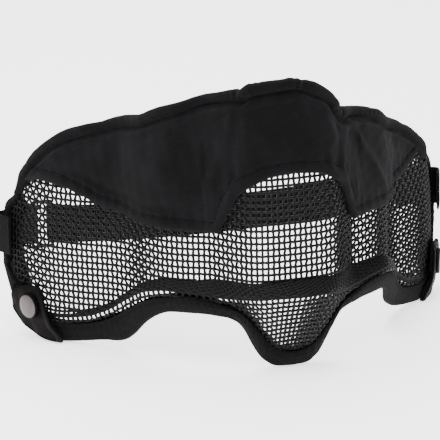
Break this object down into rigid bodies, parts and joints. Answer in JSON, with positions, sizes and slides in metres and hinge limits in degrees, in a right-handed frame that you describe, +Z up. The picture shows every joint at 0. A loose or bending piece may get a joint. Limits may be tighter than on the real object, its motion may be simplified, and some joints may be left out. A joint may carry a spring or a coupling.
{
  "type": "half-face mesh mask",
  "caption": "Half-face mask of bent wire mesh with a padded cloth upper, taped edge, leather corners with snap caps and an elastic head strap; stands on its chin and ear lobes.",
  "frame": {"origin": "middle of the bounding box's base, on the ground between chin and ear lobes", "axes": "+Z up, the mask faces -Y, +X is the wearer's left"},
  "size_m": [0.2018, 0.124, 0.1226],
  "materials": {
    "wire": "woven wire, black coated, satin",
    "cloth": "fine woven black cloth, lightly padded",
    "webbing": "ribbed woven black tape",
    "elastic": "knitted black elastic",
    "leather": "dark brown-black leather, worn soft",
    "snap_metal": "pinkish grey enamelled cap, satin",
    "ring_metal": "black coated wire, satin"
  },
  "bodies": {
    "root": {"mesh_shell": "wire", "fabric_cover": "cloth", "top_hem": "cloth", "bottom_binding": "webbing", "head_strap": "elastic", "corner_patch_left": "leather", "corner_patch_right": "leather", "snap_cap_left": "snap_metal", "snap_cap_right": "snap_metal", "strap_tab_left": "webbing", "strap_tab_right": "webbing", "strap_ring_left": "ring_metal", "strap_ring_right": "ring_metal"}
  },
  "joints": []
}
